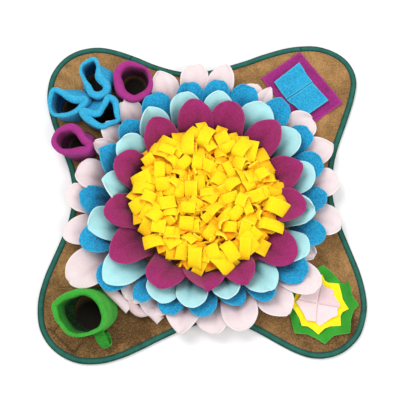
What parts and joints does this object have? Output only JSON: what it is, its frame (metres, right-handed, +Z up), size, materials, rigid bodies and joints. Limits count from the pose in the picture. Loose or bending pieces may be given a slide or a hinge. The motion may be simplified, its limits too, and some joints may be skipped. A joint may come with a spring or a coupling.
{
  "type": "snuffle mat",
  "caption": "Cloth foraging mat with rounded lobes, a layered fleece flower round a tuft of strips, and treat pots, leaves, a lily and a mug in its corners.",
  "frame": {"origin": "on the floor, under the middle of the mat's outline", "axes": "+Z up, -Y towards the edge nearest the viewer (the mug and lily side), +X to the viewer's right"},
  "size_m": [0.5166, 0.535, 0.0657],
  "materials": {
    "brown_fleece": "short matted fleece, tan specks",
    "green_tape": "smooth woven tape, folded over the edge",
    "magenta_fleece": "short fleece, slightly pebbly, paler cut edge",
    "aqua_fleece": "smooth short fleece, paler cut edge",
    "blue_fleece": "pebbly fleece, paler cut edge",
    "pink_fleece": "smooth short fleece, white cut edge",
    "yellow_fleece": "smooth short fleece, clean cut edges",
    "bright_blue_fleece": "pebbly fleece with a rounded rim",
    "purple_fleece": "felted fleece with a rounded rim",
    "green_felt": "felted fleece, speckled cut rim",
    "leaf_green_fleece": "short fleece, paler cut edge",
    "lily_yellow_fleece": "smooth short fleece",
    "lily_pink_fleece": "smooth short fleece, sewn with a cross"
  },
  "bodies": {
    "root": {"base": "brown_fleece", "binding": "green_tape", "magenta_petals_01": "magenta_fleece", "magenta_petals_02": "magenta_fleece", "magenta_petals_03": "magenta_fleece", "magenta_petals_04": "magenta_fleece", "magenta_petals_05": "magenta_fleece", "magenta_petals_06": "magenta_fleece", "magenta_petals_07": "magenta_fleece", "magenta_petals_08": "magenta_fleece", "magenta_petals_09": "magenta_fleece", "magenta_petals_10": "magenta_fleece", "magenta_petals_11": "magenta_fleece", "magenta_petals_12": "magenta_fleece", "magenta_petals_13": "magenta_fleece", "aqua_petals_01": "aqua_fleece", "aqua_petals_02": "aqua_fleece", "aqua_petals_03": "aqua_fleece", "aqua_petals_04": "aqua_fleece", "aqua_petals_05": "aqua_fleece", "aqua_petals_06": "aqua_fleece", "aqua_petals_07": "aqua_fleece", "aqua_petals_08": "aqua_fleece", "aqua_petals_09": "aqua_fleece", "aqua_petals_10": "aqua_fleece", "aqua_petals_11": "aqua_fleece", "aqua_petals_12": "aqua_fleece", "aqua_petals_13": "aqua_fleece", "aqua_petals_14": "aqua_fleece", "aqua_petals_15": "aqua_fleece", "aqua_petals_16": "aqua_fleece", "blue_petals_01": "blue_fleece", "blue_petals_02": "blue_fleece", "blue_petals_03": "blue_fleece", "blue_petals_04": "blue_fleece", "blue_petals_05": "blue_fleece", "blue_petals_06": "blue_fleece", "blue_petals_07": "blue_fleece", "pink_petals_01": "pink_fleece", "pink_petals_02": "pink_fleece", "pink_petals_03": "pink_fleece", "pink_petals_04": "pink_fleece", "pink_petals_05": "pink_fleece", "pink_petals_06": "pink_fleece", "pink_petals_07": "pink_fleece", "pink_petals_08": "pink_fleece", "tuft": "yellow_fleece", "blue_pot_back": "bright_blue_fleece", "blue_pot_left": "bright_blue_fleece", "blue_pot_front": "bright_blue_fleece", "magenta_pot_back": "purple_fleece", "magenta_pot_left": "purple_fleece", "green_mug": "green_felt", "mug_handle": "green_felt", "patch": "purple_fleece", "leaf_back": "bright_blue_fleece", "leaf_front": "bright_blue_fleece", "lily_leaves": "leaf_green_fleece", "lily_yellow": "lily_yellow_fleece", "lily_pink": "lily_pink_fleece"}
  },
  "joints": []
}
